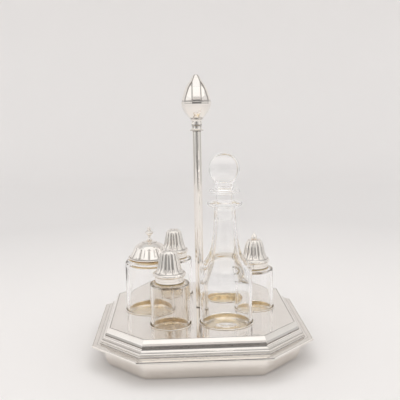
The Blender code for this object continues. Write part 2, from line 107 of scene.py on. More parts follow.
class Look:
    """A Principled material and short ways to add nodes to it."""

    def __init__(self, name, color, roughness, metallic=0.0, transmission=0.0, ior=1.5):
        self.material = bpy.data.materials.new(name)
        self.material.use_nodes = True
        self.tree = self.material.node_tree
        self.shader = self.tree.nodes["Principled BSDF"]
        self.set("Base Color", (*color, 1.0))
        self.set("Roughness", roughness)
        self.set("Metallic", metallic)
        self.set("Transmission Weight", transmission)
        self.set("IOR", ior)
        self.material.diffuse_color = (*color, 1.0)
        self.place = self.node("ShaderNodeTexCoord").outputs["Object"]

    def set(self, socket, value):
        self.shader.inputs[socket].default_value = value

    def node(self, kind, **settings):
        return add_node(self.tree, kind, **settings)

    def join(self, output, target):
        self.tree.links.new(output, target)

    def stretched(self, scale):
        """The place scaled along each axis: under 1 draws a texture out that way."""
        mapping = self.node("ShaderNodeMapping")
        mapping.inputs["Scale"].default_value = scale
        self.join(self.place, mapping.inputs["Vector"])
        return mapping.outputs["Vector"]

    def noise(self, scale, detail=3.0, vector=None):
        texture = self.node("ShaderNodeTexNoise")
        texture.inputs["Scale"].default_value = scale
        texture.inputs["Detail"].default_value = detail
        self.join(vector or self.place, texture.inputs["Vector"])
        return texture.outputs["Fac"]

    def spread(self, factor, low, high, start=0.35, end=0.65):
        """The factor's range start to end, mapped on to low to high."""
        ranged = self.node("ShaderNodeMapRange")
        ranged.inputs["From Min"].default_value = start
        ranged.inputs["From Max"].default_value = end
        ranged.inputs["To Min"].default_value = low
        ranged.inputs["To Max"].default_value = high
        self.join(factor, ranged.inputs["Value"])
        return ranged.outputs["Result"]

    def tint(self, factor, first, second, start=0.35, end=0.65):
        """Colour the look from first to second over the factor's range start to end."""
        ramp = self.node("ShaderNodeValToRGB")
        ramp.color_ramp.elements[0].position = start
        ramp.color_ramp.elements[0].color = (*first, 1.0)
        ramp.color_ramp.elements[1].position = end
        ramp.color_ramp.elements[1].color = (*second, 1.0)
        self.join(factor, ramp.inputs["Fac"])
        self.join(ramp.outputs["Color"], self.shader.inputs["Base Color"])
        return ramp.color_ramp

    def patina_and_shade(self, color, roughness):
        """Darken and dull the look where a piece's mesh holds tarnish and painted shade."""
        amount = self.node("ShaderNodeAttribute", attribute_name="patina_and_shade").outputs["Fac"]
        # The Mix node's colour sockets are 6 and 7 going in and 2 coming out.
        mix = self.node("ShaderNodeMix", data_type="RGBA")
        self.join(amount, mix.inputs["Factor"])
        self.join(self.shader.inputs["Base Color"].links[0].from_socket, mix.inputs[6])
        mix.inputs[7].default_value = (*color, 1.0)
        self.join(mix.outputs[2], self.shader.inputs["Base Color"])
        dull = self.node("ShaderNodeMath", operation="MULTIPLY_ADD")
        self.join(amount, dull.inputs[0])
        dull.inputs[1].default_value = roughness
        self.join(self.shader.inputs["Roughness"].links[0].from_socket, dull.inputs[2])
        self.join(dull.outputs["Value"], self.shader.inputs["Roughness"])

    def bumps(self, *layers):
        """Bump layers of (height output, strength, distance in millimetres)."""
        normal = None
        for height, strength, distance in layers:
            bump = self.node("ShaderNodeBump")
            bump.inputs["Strength"].default_value = strength
            bump.inputs["Distance"].default_value = distance * MM
            self.join(height, bump.inputs["Height"])
            if normal:
                self.join(normal, bump.inputs["Normal"])
            normal = bump.outputs["Normal"]
        self.join(normal, self.shader.inputs["Normal"])


def silver_look(name):
    """Polished plate: faint hammer waves, hairline polishing marks, a warm bloom."""
    look = Look(name, (0.93, 0.915, 0.895), 0.07, metallic=1.0)
    look.tint(look.noise(46.0, 4.0), (0.96, 0.925, 0.88), (0.92, 0.875, 0.825), 0.3, 0.72)
    hairlines = look.noise(900.0, 2.0, look.stretched((1.0, 1.0, 0.06)))
    look.join(look.spread(look.noise(120.0, 5.0), 0.035, 0.11), look.shader.inputs["Roughness"])
    # Tarnish and painted shade: the finish turns dark brown and duller where a piece's mesh holds
    # them, in creases, grooves and where parts meet.
    look.patina_and_shade((0.27, 0.24, 0.215), 0.3)
    look.bumps((look.noise(28.0, 1.0), 0.12, 0.5), (hairlines, 0.05, 0.02))
    return look.material


def gilt_look(name):
    """Gold wash inside the wells, worn thin in patches."""
    look = Look(name, (0.82, 0.69, 0.43), 0.15, metallic=1.0)
    look.tint(look.noise(85.0, 5.0), (0.85, 0.70, 0.44), (0.75, 0.62, 0.40))
    look.join(look.spread(look.noise(210.0, 4.0), 0.1, 0.22), look.shader.inputs["Roughness"])
    look.bumps((look.noise(120.0, 2.0), 0.12, 0.2))
    return look.material


def roll(look):
    """Give glass the slight roll of an old surface, longer upwards than across."""
    look.bumps((look.noise(55.0, 1.0, look.stretched((1.0, 1.0, 0.35))), 0.1, 0.4))


def glass_look(name):
    """Clear old glass."""
    look = Look(name, (1.0, 1.0, 1.0), 0.0, transmission=1.0, ior=1.48)
    look.join(look.spread(look.noise(300.0, 2.0), 0.0, 0.02), look.shader.inputs["Roughness"])
    roll(look)
    return look.material


def dusty_glass_look(name):
    """Glass filmed inside with old seasoning."""
    look = Look(name, (0.93, 0.9, 0.86), 0.0, transmission=1.0, ior=1.48)
    look.tint(look.noise(60.0, 4.0), (0.955, 0.94, 0.915), (0.925, 0.90, 0.87))
    look.join(look.spread(look.noise(90.0, 3.0), 0.0, 0.08), look.shader.inputs["Roughness"])
    roll(look)
    return look.material


def brass_look(name):
    look = Look(name, (0.78, 0.62, 0.34), 0.3, metallic=1.0)
    look.tint(look.noise(160.0, 4.0), (0.82, 0.66, 0.36), (0.68, 0.52, 0.29))
    turning = look.noise(1400.0, 1.0, look.stretched((0.05, 0.05, 1.0)))
    look.join(look.spread(look.noise(400.0), 0.24, 0.4), look.shader.inputs["Roughness"])
    look.bumps((turning, 0.3, 0.05))
    return look.material


def cork_look(name):
    look = Look(name, (0.66, 0.5, 0.34), 0.85)
    look.tint(look.noise(900.0, 5.0), (0.72, 0.56, 0.38), (0.45, 0.31, 0.19))
    look.bumps((look.noise(1100.0, 4.0), 0.6, 0.2))
    return look.material


SILVER = silver_look("silver_plate")
GILT = gilt_look("gilt_lining")
GLASS = glass_look("clear_glass")
DUSTY_GLASS = dusty_glass_look("dusty_glass")
BRASS = brass_look("turned_brass")
CORK = cork_look("cork")


# ---------------------------------------------------------------- outlines

def flowing(points, steps=6):
    """A smooth (Catmull-Rom) curve through the points."""
    curve = []
    ends = [points[0]] + list(points) + [points[-1]]
    for before, start, end, after in zip(ends, ends[1:], ends[2:], ends[3:]):
        for step in range(steps):
            t = step / steps
            curve.append(tuple(
                0.5 * (2.0 * b + (c - a) * t + (2.0 * a - 5.0 * b + 4.0 * c - d) * t * t
                       + (3.0 * b - a - 3.0 * c + d) * t ** 3)
                for a, b, c, d in zip(before, start, end, after)))
    curve.append(tuple(points[-1]))
    return curve


def eased(points, radius, closed=False):
    """The outline with each sharp corner worn to a small round.

    A corner that turns less than 0.3 radians stays as it is, and a round takes at
    most 0.45 of the stretches beside it.
    """
    count, steps = len(points), 3
    smooth = []
    for index, here in enumerate(points):
        if not closed and index in (0, count - 1):
            smooth.append(tuple(here))
            continue
        here = Vector(here)
        back = Vector(points[index - 1]) - here
        ahead = Vector(points[(index + 1) % count]) - here
        if back.length < TINY or ahead.length < TINY or back.angle(-ahead) < 0.3:
            smooth.append(tuple(here))
            continue
        reach = min(radius, 0.45 * back.length, 0.45 * ahead.length)
        start = here + back.normalized() * reach
        end = here + ahead.normalized() * reach
        for step in range(steps + 1):
            t = step / steps
            smooth.append(tuple(start * (1 - t) ** 2 + here * 2 * t * (1 - t) + end * t * t))
    return smooth


def arc(centre, radius, start, end, steps):
    """Points of a circular arc, angles in degrees from +radius towards +height."""
    return [(centre[0] + radius * math.cos(math.radians(start + (end - start) * i / steps)),
             centre[1] + radius * math.sin(math.radians(start + (end - start) * i / steps)))
            for i in range(steps + 1)]


def off_middle(angle, first, step):
    """Angle from the nearest of the middles that start at first and repeat every step."""
    return (angle - first + 0.5 * step) % step - 0.5 * step


# ---------------------------------------------------------------- building pieces

def add_object(name, data):
    made = bpy.data.objects.new(name, data)
    bpy.context.scene.collection.objects.link(made)
    return made


def add_piece(name, vertices, faces, material, body, *replaced):
    """A piece that rides on a body in place of the CAD nodes it replaces."""
    mesh = bpy.data.meshes.new(name)
    mesh.from_pydata(vertices, [], faces)
    shape = bmesh.new()
    shape.from_mesh(mesh)
    bmesh.ops.remove_doubles(shape, verts=shape.verts, dist=MERGE)
    bmesh.ops.recalc_face_normals(shape, faces=shape.faces)
    shape.to_mesh(mesh)
    shape.free()
    piece = add_object(name, mesh)
    mesh.materials.append(material)
    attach(piece, body)
    if replaced:
        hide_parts(*replaced)
    return piece


def smooth_shade(piece, sharp=CREASE):
    piece.data.shade_smooth()
    piece.data.set_sharp_from_angle(angle=math.radians(sharp))


def turned(name, outline, place, material, body, *replaced,
           press=None, facets=ROUND, sharp=CREASE):
    """Turn an outline about an upright axis; press(angle, radius, height) changes its radius."""
    vertices, rings = [], []
    for radius, height in outline:
        if radius < TINY:
            rings.append([len(vertices)] * facets)
            vertices.append((place[0] * MM, place[1] * MM, height * MM))
            continue
        rings.append(list(range(len(vertices), len(vertices) + facets)))
        for step in range(facets):
            angle = 2.0 * math.pi * step / facets
            across = press(angle, radius, height) if press else radius
            vertices.append(((place[0] + across * math.cos(angle)) * MM,
                             (place[1] + across * math.sin(angle)) * MM, height * MM))
    pairs = list(zip(rings, rings[1:]))
    if outline[0][0] > TINY and outline[-1][0] > TINY:
        pairs.append((rings[-1], rings[0]))
    faces = []
    for upper, lower in pairs:
        for step in range(facets):
            after = (step + 1) % facets
            ring = [upper[step], lower[step], lower[after], upper[after]]
            corners = [v for i, v in enumerate(ring) if v != ring[i - 1]]
            if len(corners) > 2:
                faces.append(corners)
    piece = add_piece(name, vertices, faces, material, body, *replaced)
    smooth_shade(piece, sharp)
    return piece


def second_finish(piece, material, chosen):
    """Give the faces that chosen() picks a second material."""
    piece.data.materials.append(material)
    for face in piece.data.polygons:
        if chosen(face):
            face.material_index = 1


def store_patina_and_shade(piece, amount, place=(0.0, 0.0)):
    """Store each vertex's tarnish and painted shade, 0 to 1, from amount(angle, radius, height).
    """
    mesh = piece.data
    layer = mesh.attributes.new("patina_and_shade", "FLOAT", "POINT")
    for vertex, value in zip(mesh.vertices, layer.data):
        x, y, z = vertex.co / MM
        x, y = x - place[0], y - place[1]
        value.value = min(max(amount(math.atan2(y, x), math.hypot(x, y), z), 0.0), 1.0)


def lines(*marks):
    """Tarnish and painted shade along rings, each given as (radius, height, width, strength)."""
    def amount(angle, radius, height):
        return max(strength * math.exp(-((radius - r) ** 2 + (height - z) ** 2) / width ** 2)
                   for r, z, width, strength in marks)
    return amount


def border_lines(*marks):
    """The same for the stand's border, each given as (offset, height, width, strength)."""
    along = lines(*marks)

    def amount(angle, radius, height):
        x, y = abs(radius * math.cos(angle)), abs(radius * math.sin(angle))
        past_side = max(x, y) - DECK_HALF
        past_corner = (x + y - 2.0 * DECK_HALF + CORNER_CUT) / math.sqrt(2.0)
        return along(angle, max(past_side, past_corner), height)
    return amount


def border_corners(offset):
    """Corners of the stand's eight-sided outline, moved outwards by an offset."""
    half = DECK_HALF + offset
    short = half - CORNER_CUT - offset * (2.0 - math.sqrt(2.0))
    return [(half, -short), (half, short), (short, half), (-short, half),
            (-half, short), (-half, -short), (-short, -half), (short, -half)]


def mitred(name, outline, material, body, *replaced):
    """Carry a closed outline around the stand with crisp mitres."""
    vertices = [(x * MM, y * MM, height * MM)
                for offset, height in outline for x, y in border_corners(offset)]
    faces = []
    for level in range(len(outline)):
        below = (level + 1) % len(outline)
        for side in range(SIDES):
            after = (side + 1) % SIDES
            faces.append([level * SIDES + side, below * SIDES + side,
                          below * SIDES + after, level * SIDES + after])
    piece = add_piece(name, vertices, faces, material, body, *replaced)
    smooth_shade(piece, sharp=32)
    # A mitre's edge is short and keeps to one direction from the middle.
    most_turn, most_length = 0.2, 0.03     # radians and metres
    points = [vertex.co for vertex in piece.data.vertices]
    for edge in piece.data.edges:
        first, second = (points[index] for index in edge.vertices)
        turn = abs(math.atan2(first.y, first.x) - math.atan2(second.y, second.x))
        if turn < most_turn and (first.xy - second.xy).length < most_length:
            edge.use_edge_sharp = True
    return piece


def cylinder(name, radius, span, place, facets=ROUND):
    """An upright cylinder to cut with; span is its lowest and highest height."""
    low, high = span
    shape = bmesh.new()
    at = Matrix.Translation((place[0] * MM, place[1] * MM, 0.5 * (low + high) * MM))
    bmesh.ops.create_cone(shape, cap_ends=True, segments=facets, radius1=radius * MM,
                          radius2=radius * MM, depth=(high - low) * MM, matrix=at)
    mesh = bpy.data.meshes.new(name)
    shape.to_mesh(mesh)
    shape.free()
    return add_object(name, mesh)


def drill(piece, cutters, sharp=CREASE):
    """Cut the cutters out of a piece and throw them away."""
    for cutter in cutters:
        cut = piece.modifiers.new(cutter.name, "BOOLEAN")
        cut.operation = "DIFFERENCE"
        cut.solver = "EXACT"
        cut.object = cutter
    bpy.context.view_layer.update()
    depsgraph = bpy.context.evaluated_depsgraph_get()
    mesh = bpy.data.meshes.new_from_object(piece.evaluated_get(depsgraph))
    piece.modifiers.clear()
    piece.data = mesh
    for cutter in cutters:
        bpy.data.objects.remove(cutter)
    smooth_shade(piece, sharp)


# ---------------------------------------------------------------- stand

def make_skirt():
    """The base's spreading skirt, a thin wall that turns in at the table."""
    outside = flowing([(4.5, 21.7), (4.9, 16.5), (4.4, 10.5), (3.1, 5.5), (1.4, 2.0), (-0.4, 0.3)])
    inside = [(-0.8, 0.0), (-2.2, 0.0), (-0.6, 2.2), (1.7, 6.1), (3.0, 10.8), (3.6, 16.4),
              (3.3, 21.7)]
    skirt = mitred("skirt", outside + inside, SILVER, "stand", "base_skirt")
    # Tarnish and painted shade at the skirt's top under the moulding and along its foot at the
    # table.
    store_patina_and_shade(skirt, border_lines((4.5, 21.7, 1.0, 0.3), (-0.4, 0.3, 0.8, 0.4)))


def make_moulding():
    """Deck's edge, slope, groove, hollow, round step, fillet, flat strip and lip."""
    slope = [(-0.8, 40.0), (-0.1, 40.0)]
    slope += flowing([(0.2, 39.8), (1.6, 38.1), (3.1, 35.8), (4.0, 33.6)])
    groove = [(3.7, 33.1), (3.8, 32.6), (4.4, 32.7)]
    hollow = arc((7.5, 32.5), 3.0, 183, 262, 8)
    round_step = [(7.5, 29.2)] + arc((7.2, 27.6), 1.7, 62, -8, 8)
    fillet = [(8.7, 26.9), (9.1, 26.7), (9.35, 26.3), (9.4, 25.4)]
    strip = [(9.7, 25.1), (10.1, 25.07), (11.5, 24.97), (11.8, 24.95), (12.0, 24.75),
             (12.3, 24.9), (16.0, 24.5)]
    lip = [(16.2, 24.2), (16.4, 24.45), (16.9, 24.4)] + arc((16.7, 22.9), 0.8, 60, -75, 6)
    under = [(16.6, 22.0), (2.3, 22.0), (2.3, 23.6), (7.4, 24.0), (7.4, 26.6), (3.2, 30.6),
             (2.4, 33.0), (-1.2, 37.4), (-5.0, 37.4), (-5.0, 38.7), (-0.8, 38.7)]
    outline = slope + groove + hollow + round_step + fillet + strip + lip + under
    moulding = mitred("moulding", outline, SILVER, "stand", "base_moulding")
    # Tarnish and painted shade: dark lines along the deck's edge, the groove, the foot of each
    # step and under the lip.
    store_patina_and_shade(moulding, border_lines((-0.8, 40.0, 0.45, 0.75), (3.75, 32.85, 0.35, 1.3),
                                 (7.5, 29.35, 0.35, 0.9), (8.75, 26.85, 0.3, 0.8),
                                 (9.5, 25.2, 0.35, 1.0), (12.0, 24.75, 0.25, 0.9),
                                 (16.2, 24.2, 0.22, 0.9), (16.6, 22.0, 0.5, 0.5)))


WELLS = {"side": "small", "rear": "small", "front": "small",
         "spare": "large", "mustard": "large", "bottle": "large"}
HOLE = {"small": 21.9, "large": 28.4}   # radius of each size of well's hole


def make_deck():
    """The flat plate with a hole for each well and one for the tie rod."""
    low = foot("deck_plate")
    vertices = [(x * MM, y * MM, z * MM)
                for z in (low, DECK_TOP) for x, y in border_corners(-DECK_TUCK)]
    faces = [list(range(SIDES))[::-1], list(range(SIDES, 2 * SIDES))]
    for side in range(SIDES):
        after = (side + 1) % SIDES
        faces.append([side, after, SIDES + after, SIDES + side])
    deck = add_piece("deck", vertices, faces, SILVER, "stand", "deck_plate")
    cutters = [cylinder("bolt", ROD_HOLE, DECK_CUT, (0, 0), 32)]
    for well, size in WELLS.items():
        cutters.append(cylinder(well, HOLE[size], DECK_CUT, middle("well_cup_" + well)))
    drill(deck, cutters)


def make_well_cup(well, hole):
    """A spun cup with a rolled rim, hung in the deck."""
    node = "well_cup_" + well
    base, rim = foot(node), top(node)
    floor = base + 0.6
    inner = hole - 1.2
    corner, roll_radius = 1.6, 0.62
    inside = [(0.0, floor), (inner - corner, floor)]
    inside += arc((inner - corner, floor + corner), corner, -80, -8, 6)
    inside += [(inner, rim - 0.9)]
    rolled = arc((inner + 0.82, rim - roll_radius), roll_radius, 170, 0, 8)
    outside = [(hole + 0.5, rim - 0.5), (hole - 0.3, rim - 0.5), (hole - 0.3, base + 1.2),
               (hole - 1.1, base), (0.0, base)]
    cup = turned("well_" + well, inside + rolled + outside, middle(node), GILT, "stand", node)
    second_finish(cup, SILVER, lambda face: face.center.z > (rim - 0.95) * MM)


def facets_of(count, low, high):
    """A press that flattens a turned piece to facets, fully at high and not at all at low."""
    def press(angle, radius, height):
        fade = min(max((height - low) / (high - low), 0.0), 1.0)
        step = 2.0 * math.pi / count
        flat = radius * math.cos(0.5 * step) / math.cos(off_middle(angle, FRONT, step))
        return radius + (flat - radius) * fade
    return press


def make_upright():
    """The plain tube; the points near its ends keep the tarnish and painted shade there."""
    low, high = foot("upright_tube"), top("upright_tube")
    outer, bore = 4.65, 3.2
    outline = [(outer, high), (outer, high - 1.5), (outer, high - 3.0), (outer, low + 3.0),
               (outer, low + 1.5), (outer, low), (bore, low), (bore, high)]
    upright = turned("upright", eased(outline, 0.3, closed=True), (0, 0), SILVER, "stand",
                     "upright_tube")
    store_patina_and_shade(upright, lines((outer, low, 0.6, 0.8), (outer, high, 0.6, 0.8)))


def make_collar():
    """The round collar between the upright and the handle."""
    low = foot("finial_collar")
    outline = [(ROD_HOLE, low + 5.4), (5.0, low + 5.4), (5.3, low + 5.1), (5.3, low + 4.2),
               (5.3, low + 2.2), (5.5, low + 1.6), (6.2, low + 1.2), (7.3, low + 1.0),
               (7.6, low + 0.6), (7.3, low), (ROD_HOLE, low)]
    collar = turned("collar", eased(outline, 0.25), (0, 0), SILVER, "stand", "finial_collar")
    # Tarnish and painted shade along the collar's foot and its top edge.
    store_patina_and_shade(collar, lines((7.3, low, 0.5, 0.9), (5.3, low + 5.2, 0.5, 0.8)))


def make_cup():
    """The handle's ten-sided cup on its short stem."""
    sides = 10
    low, high = foot("finial_cup"), top("finial_cup")
    outline = [(0.0, high), (14.9, high), (15.3, high - 0.1), (15.6, high - 0.5)]
    outline += flowing([(15.6, high - 0.9), (15.6, high - 2.6), (14.9, high - 6.0),
                        (13.0, high - 10.2), (9.8, high - 14.6), (7.5, high - 17.0)])
    outline += [(7.1, high - 17.3), (7.1, high - 18.3), (6.7, high - 18.5), (6.6, high - 19.0),
                (5.8, high - 19.3)]
    outline += flowing([(5.6, high - 19.8), (5.4, high - 21.4), (5.7, low + 0.3)])
    outline += [(5.5, low), (ROD_HOLE, low), (ROD_HOLE, high - 12.0), (0.0, high - 12.0)]
    cup = turned("cup", outline, (0, 0), SILVER, "stand", "finial_cup",
                 press=facets_of(sides, low + 4.0, high - 6.0), facets=18 * sides, sharp=12)
    # Tarnish and painted shade along the rim, at the stem's steps and at the foot.
    store_patina_and_shade(cup, lines((15.4, high - 0.1, 0.6, 0.7), (7.0, high - 17.3, 0.5, 0.7),
                     (6.3, high - 19.1, 0.5, 0.7), (5.6, low + 0.2, 0.7, 0.8)))


def make_bud():
    """Five tall petals with five short ones between them, closed to a blunt point."""
    low, high = foot("finial_bud"), top("finial_bud")
    profile = [(15.1, low), (14.9, low + 2.3), (13.6, low + 6.7), (11.3, low + 13.5),
               (8.8, low + 17.9), (6.4, low + 21.1), (4.9, low + 23.5), (3.7, low + 25.6),
               (2.6, low + 26.9), (1.4, low + 27.4)]
    profile = flowing(profile, 7)[::-1]
    short_tip = low + 21.5
    tall_meet = short_tip + 2.0    # above this the tall petals touch one another
    petals = 5
    step = 2.0 * math.pi / petals
    half_step = 0.5 * step

    def petal(angle, radius, height):
        """How far up, the angle off a tall petal's middle, its half width as an angle,
        and the angle to the nearest groove."""
        rise = (height - low) / (high - low)
        off = off_middle(angle, FRONT, step)
        half_wide = 4.85 - 0.5 * rise
        edge = min(half_wide / max(radius, 0.1), half_step)
        gap = abs(off) - edge if height < tall_meet else half_step - abs(off)
        return rise, off, edge, gap

    def press(angle, radius, height):
        rise, off, edge, gap = petal(angle, radius, height)
        if abs(off) <= edge or height > short_tip:
            across, span, pull = off, edge, 0.0
        else:
            across, span, pull = half_step - abs(off), half_step - edge, 0.35 + 0.35 * rise
        span = min(span, 0.6)
        flat = radius * math.cos(span) / math.cos(min(abs(across), span))
        shaped = radius + 0.75 * (flat - radius) + 0.25 * radius * (1 - math.cos(span)) - pull
        groove_width = 0.32 if height < tall_meet else 0.4
        groove = math.exp(-(gap * radius / groove_width) ** 2)
        shaped -= 0.55 * groove * min(1.0, 0.3 + 2.5 * rise) * min(1.0, radius / 4.0)
        return max(min(shaped, radius), 0.2)

    # Tarnish and painted shade along the grooves between the petals and at the bud's foot.
    def petal_patina_and_shade(angle, radius, height):
        gap = petal(angle, radius, height)[-1]
        seam = 0.9 * math.exp(-((height - low) / 0.5) ** 2)
        return max(math.exp(-(gap * radius / 0.48) ** 2) * (radius > 1.5), seam)

    outline = [(0.0, high)] + profile + [(0.0, low)]
    bud = turned("bud", outline, (0, 0), SILVER, "stand", "finial_bud", press=press,
                 facets=60 * petals, sharp=24)
    store_patina_and_shade(bud, petal_patina_and_shade)


# ---------------------------------------------------------------- lobes and shakers

def lobes(first, depth, low, high):
    """A press of convex lobes parted by sharp grooves, fading out at both ends."""
    step = 2.0 * math.pi / LOBES

    def press(angle, radius, height):
        along = (height - low) / (high - low)
        if not 0.0 < along < 1.0:
            return radius
        off = off_middle(angle, first, step) / (0.5 * step)
        fade = min(1.0, 5.0 * along, 7.0 * (1.0 - along))
        valley = 1.0 - math.sqrt(max(1.0 - off * off, 0.0))
        return radius - depth * fade * 0.5 * (valley + off * off)
    return press


def groove_patina_and_shade(first, low, high, marks):
    """Tarnish and painted shade in the grooves between the lobes, more towards their feet, and
    along marks.
    """
    step = 2.0 * math.pi / LOBES
    along_marks = lines(*marks)

    def amount(angle, radius, height):
        along = (height - low) / (high - low)
        groove = 0.0
        if 0.0 < along < 1.0:
            off = abs(off_middle(angle, first, step)) / (0.5 * step)
            groove = (0.95 - 0.35 * along) * max(0.0, (off - 0.72) / 0.28) ** 1.2
        return max(groove * min(1.0, 4.0 * (1.0 - along)), along_marks(angle, radius, height))
    return amount


def make_shaker_glass(shaker):
    """A straight glass with a narrow neck, three millimetres thick in its foot."""
    node = shaker + "_shaker_glass"
    base, mouth, radius = foot(node), top(node), half_width(node)
    shoulder = mouth - 9.4
    outside = [(11.7, mouth - 0.2), (11.7, shoulder + 0.6)]
    outside += arc((12.3, shoulder + 0.6), 0.6, 180, 270, 3)
    outside += arc((radius - 1.2, shoulder - 1.2), 1.2, 90, 0, 6)
    outside += arc((radius - 0.7, base + 0.7), 0.7, 0, -90, 4) + [(0.0, base)]
    inside = [(0.0, base + 3.0), (12.0, base + 3.2)] + arc((14.7, base + 6.3), 3.1, -78, 0, 6)
    inside += flowing([(17.8, base + 12.0), (17.8, shoulder - 4.8), (17.0, shoulder - 3.3),
                       (12.0, shoulder - 2.3), (9.8, shoulder - 0.6), (9.4, shoulder + 2.0),
                       (9.4, mouth - 0.3)], 5)
    inside += [(9.7, mouth), (11.4, mouth)]
    turned(shaker + "_glass", inside + outside, middle(node),
           DUSTY_GLASS if shaker == "front" else GLASS, shaker + "_shaker", node)


def make_shaker_ferrule(shaker):
    """The brass collar that the cap screws on to, hidden while the cap is on."""
    node = shaker + "_shaker_ferrule"
    low, high = foot(node), top(node)
    outline = [(12.6, high), (12.6, low + 0.6), (15.0, low + 0.6), (15.0, low), (12.2, low),
               (12.0, high)]
    turned(shaker + "_ferrule", eased(outline, 0.15, closed=True), middle(node), BRASS,
           shaker + "_shaker", node)


def make_shaker_cap(shaker, crown, holes, ring):
    """A fluted cap with a spreading rim, a plain skirt and a ring of pouring holes."""
    node = shaker + "_shaker_cap"
    ring_node = node + "_ring"
    low, place = foot(ring_node), middle(node)
    crown = flowing(crown, 6)
    wall = flowing([crown[-1], (10.4, 107.0), (11.7, 101.0), (13.3, 96.2), (14.4, 94.9)], 8)[1:]
    rim = [(14.7, 94.3), (15.0, 94.2)] + flowing([(15.2, 94.3), (16.3, 93.4), (16.7, 92.3)], 4)
    rim += [(16.65, 91.7), (16.1, 91.0), (15.2, 90.8), (14.8, 90.3)]
    skirt = [(14.8, 87.4), (14.65, 87.2), (14.65, 86.9), (14.8, 86.7), (14.8, low + 1.0),
             (14.8, low + 0.3), (14.6, low), (13.9, low), (13.9, 94.0), (11.4, 94.0)]
    lining = [(11.4, 97.4), (9.0, 107.0)]
    lining += [(max(r - 1.2, 0.0), z - 1.0) for r, z in crown[::-4]]
    lining[-1] = (0.0, lining[-1][1])
    crown_foot = crown[-1][1]
    cap = turned(shaker + "_cap", crown + wall + rim + skirt + lining, place, SILVER,
                 shaker + "_cap", node, ring_node, facets=FLUTED_ROUND,
                 press=lobes(FRONT, 0.95, 94.6, crown_foot + 4.2), sharp=30)
    # Tarnish and painted shade along the rim, under it, at the skirt's bead and along the cap's
    # foot, besides the grooves.
    marks = [(14.75, 94.3, 0.5, 0.9), (15.2, 90.85, 0.5, 0.9), (14.65, 87.05, 0.2, 0.5),
             (14.8, low + 0.1, 0.5, 0.8)]
    store_patina_and_shade(cap, groove_patina_and_shade(FRONT, 94.9, crown_foot + 3.8, marks), place)
    cutters = []
    for hole in range(holes):
        angle = 2.0 * math.pi * hole / holes
        at = (place[0] + ring * math.cos(angle), place[1] + ring * math.sin(angle))
        cutters.append(cylinder("pierce", POUR_HOLE, CROWN_CUT, at, 16))
    drill(cap, cutters, sharp=30)


def make_shaker_knob():
    node = "side_shaker_knob"
    low, high = foot(node), top(node)
    outline = [(0.0, high)] + flowing([(0.5, high), (1.1, high - 0.7), (2.0, high - 2.0),
                                       (3.1, high - 4.0), (3.4, high - 5.2), (3.0, high - 6.0)])
    outline += [(3.3, low + 0.4), (3.3, low), (0.0, low)]
    turned("side_knob", outline, middle(node), SILVER, "side_cap", node, facets=KNOB_ROUND)


# ---------------------------------------------------------------- mustard jar

def make_jar():
    """A wide straight jar whose shoulder turns in under the lid."""
    node = "mustard_jar"
    base, mouth, radius = foot(node), top(node), half_width(node)
    outside = [(22.7, mouth)] + flowing([(23.1, mouth - 0.3), (23.6, mouth - 0.8),
                                         (25.2, mouth - 1.2), (26.4, mouth - 2.2),
                                         (radius, mouth - 4.0)], 4)
    outside += arc((radius - 1.2, base + 1.2), 1.2, 0, -90, 5) + [(0.0, base)]
    inside = [(0.0, base + 3.0), (17.0, base + 3.2)] + arc((20.9, base + 6.6), 3.4, -78, 0, 6)
    inside += flowing([(24.3, base + 13.0), (24.3, mouth - 8.0), (23.2, mouth - 5.4),
                       (21.2, mouth - 3.4), (20.8, mouth - 0.3)], 5)
    turned("jar_glass", inside + [(21.1, mouth)] + outside, middle(node), GLASS,
           "mustard_jar", node)


def make_jar_collar():
    node = "mustard_jar_collar"
    low = foot(node)
    outline = [(20.8, low + 1.0), (22.7, low + 1.0), (23.1, low + 0.8), (23.2, low + 0.5),
               (23.1, low + 0.2), (22.7, low), (20.8, low)]
    turned("jar_collar", outline, middle(node), GILT, "mustard_jar", node)


def make_lid():
    """A dome of twelve lobes above a reeded band and a beaded rim."""
    node = "mustard_lid"
    flange = 4.4                   # how far the lid reaches down inside the jar
    low, apex, place = foot(node) + flange, top(node), middle(node)
    first = FRONT + math.pi / LOBES
    dome = [(0.0, apex)] + flowing([(1.5, apex), (4.4, apex - 0.35), (8.0, 114.4)], 4)
    dome += flowing([(8.2, 114.0), (12.2, 112.2), (15.4, 109.6), (17.3, 106.6), (19.0, 103.6),
                     (20.6, 100.8), (21.7, 99.3)], 6)
    band = [(21.9, 98.9), (22.0, 98.5), (22.4, 98.3), (22.9, 98.2)]
    rim = arc((22.75, low + 0.75), 0.75, 70, -80, 7) + [(22.6, low)]
    inside = [(20.4, low), (20.4, low - flange), (19.3, low - flange), (19.3, low + 1.6),
              (17.4, 103.4), (15.7, 106.4), (13.9, 108.7), (11.0, 110.9), (7.4, 112.8),
              (0.0, 114.4)]
    lid = turned("lid", dome + band + rim + inside, place, SILVER, "mustard_lid", node,
                 press=lobes(first, 1.1, 98.8, 109.4), facets=FLUTED_ROUND, sharp=30)
    # Tarnish and painted shade at the band, along the rim's foot and in a ring at the top of the
    # dome, besides the grooves.
    marks = [(21.9, 98.7, 0.5, 0.85), (22.9, 98.1, 0.3, 0.6), (22.6, low, 0.4, 0.8),
             (8.1, 114.2, 0.4, 0.6)]
    store_patina_and_shade(lid, groove_patina_and_shade(first, 98.9, 109.0, marks), place)
    x, y = (value * MM for value in place)

    def inner(face):
        """Faces of the flange, faces that look down and faces that look at the axis."""
        outwards = face.normal.x * (face.center.x - x) + face.normal.y * (face.center.y - y)
        return face.center.z < (low - 0.01) * MM or face.normal.z < -0.1 or outwards < 0

    second_finish(lid, GILT, inner)


